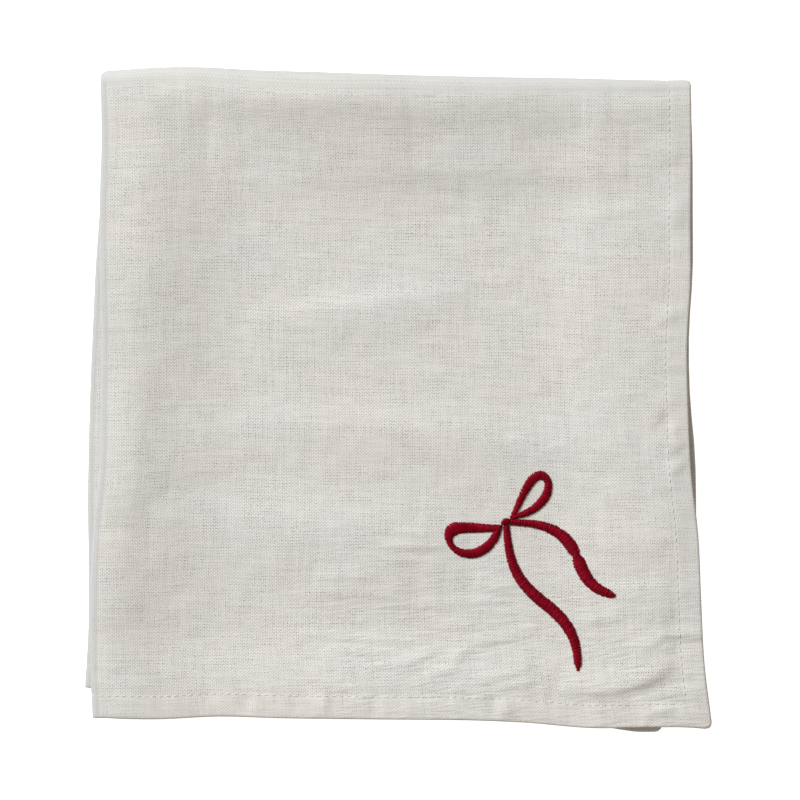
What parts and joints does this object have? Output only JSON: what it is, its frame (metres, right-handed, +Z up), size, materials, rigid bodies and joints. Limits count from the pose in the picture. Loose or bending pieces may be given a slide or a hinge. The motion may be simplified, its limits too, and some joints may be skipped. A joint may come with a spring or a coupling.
{
  "type": "cloth napkin",
  "caption": "Woven cloth napkin with hemmed edges, folded in quarters and lying flat, with an embroidered ribbon bow in one corner.",
  "frame": {"origin": "middle of the folded napkin's footprint, on the surface it lies on", "axes": "+Z up, away from the surface; +Y towards the top fold; +X from the side fold towards the hems"},
  "size_m": [0.2192, 0.2326, 0.0108],
  "materials": {
    "linen": "matt, open plain weave of slubbed natural white yarn",
    "thread": "soft sheen, deep red satin stitch"
  },
  "bodies": {
    "root": {"napkin_cloth": "linen", "bow_knot": "thread", "bow_loop_left": "thread", "bow_loop_top": "thread", "bow_tail_right": "thread", "bow_tail_bottom": "thread"}
  },
  "joints": []
}
